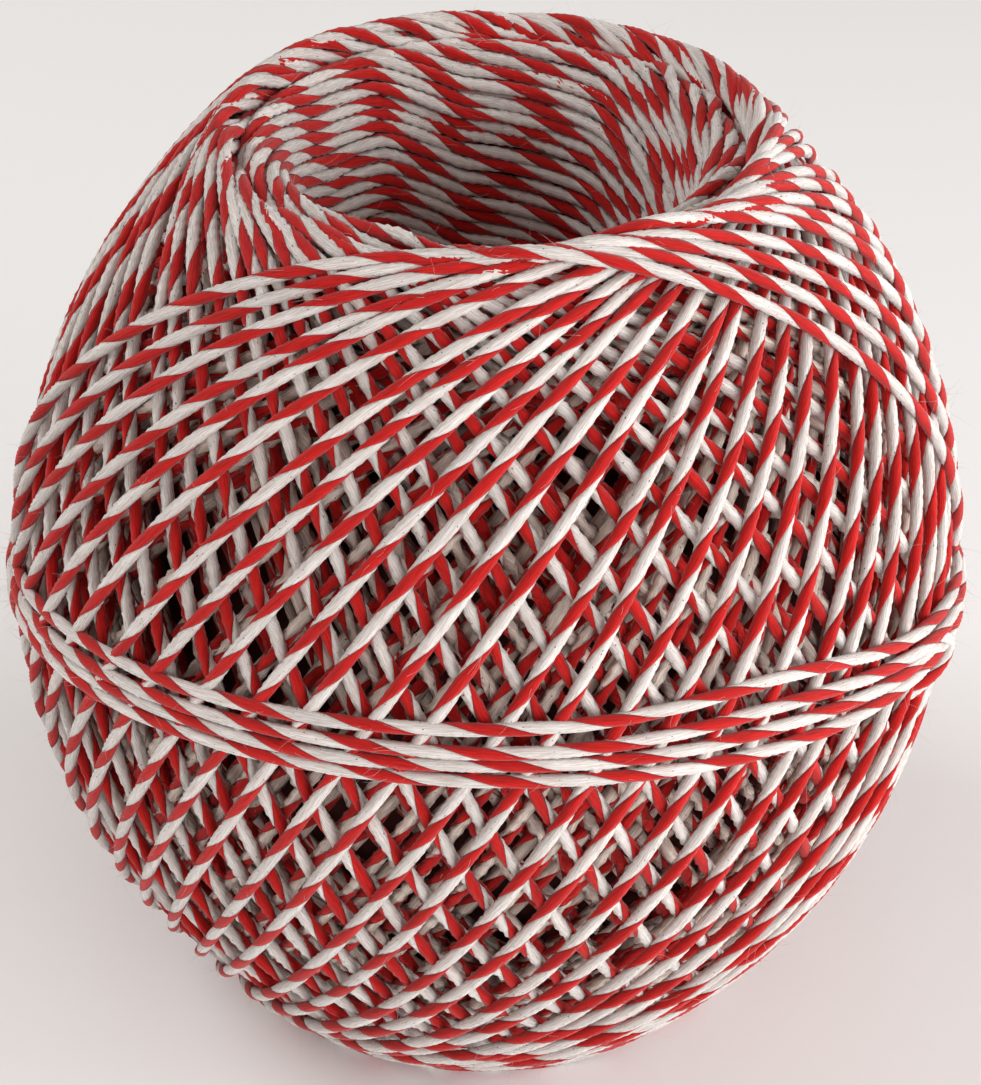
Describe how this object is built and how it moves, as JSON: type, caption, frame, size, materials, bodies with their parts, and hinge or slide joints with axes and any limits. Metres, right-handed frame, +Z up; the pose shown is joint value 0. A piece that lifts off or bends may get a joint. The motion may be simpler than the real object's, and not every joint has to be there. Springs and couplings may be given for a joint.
{
  "type": "ball of twine",
  "caption": "Cross-wound ball of red and white two-ply cotton twine with an open bore along its winding axis and a belt of turns round its middle.",
  "frame": {"origin": "on the surface that the ball stands on, under the middle of its bore", "axes": "+Z up along the winding axis, -Y towards the side seen in the picture, +X to the right of it"},
  "size_m": [0.0758, 0.0752, 0.0735],
  "materials": {
    "twine": "matte cotton, one red ply and one natural white ply"
  },
  "bodies": {
    "root": {"wound_ball": "twine"}
  },
  "joints": []
}
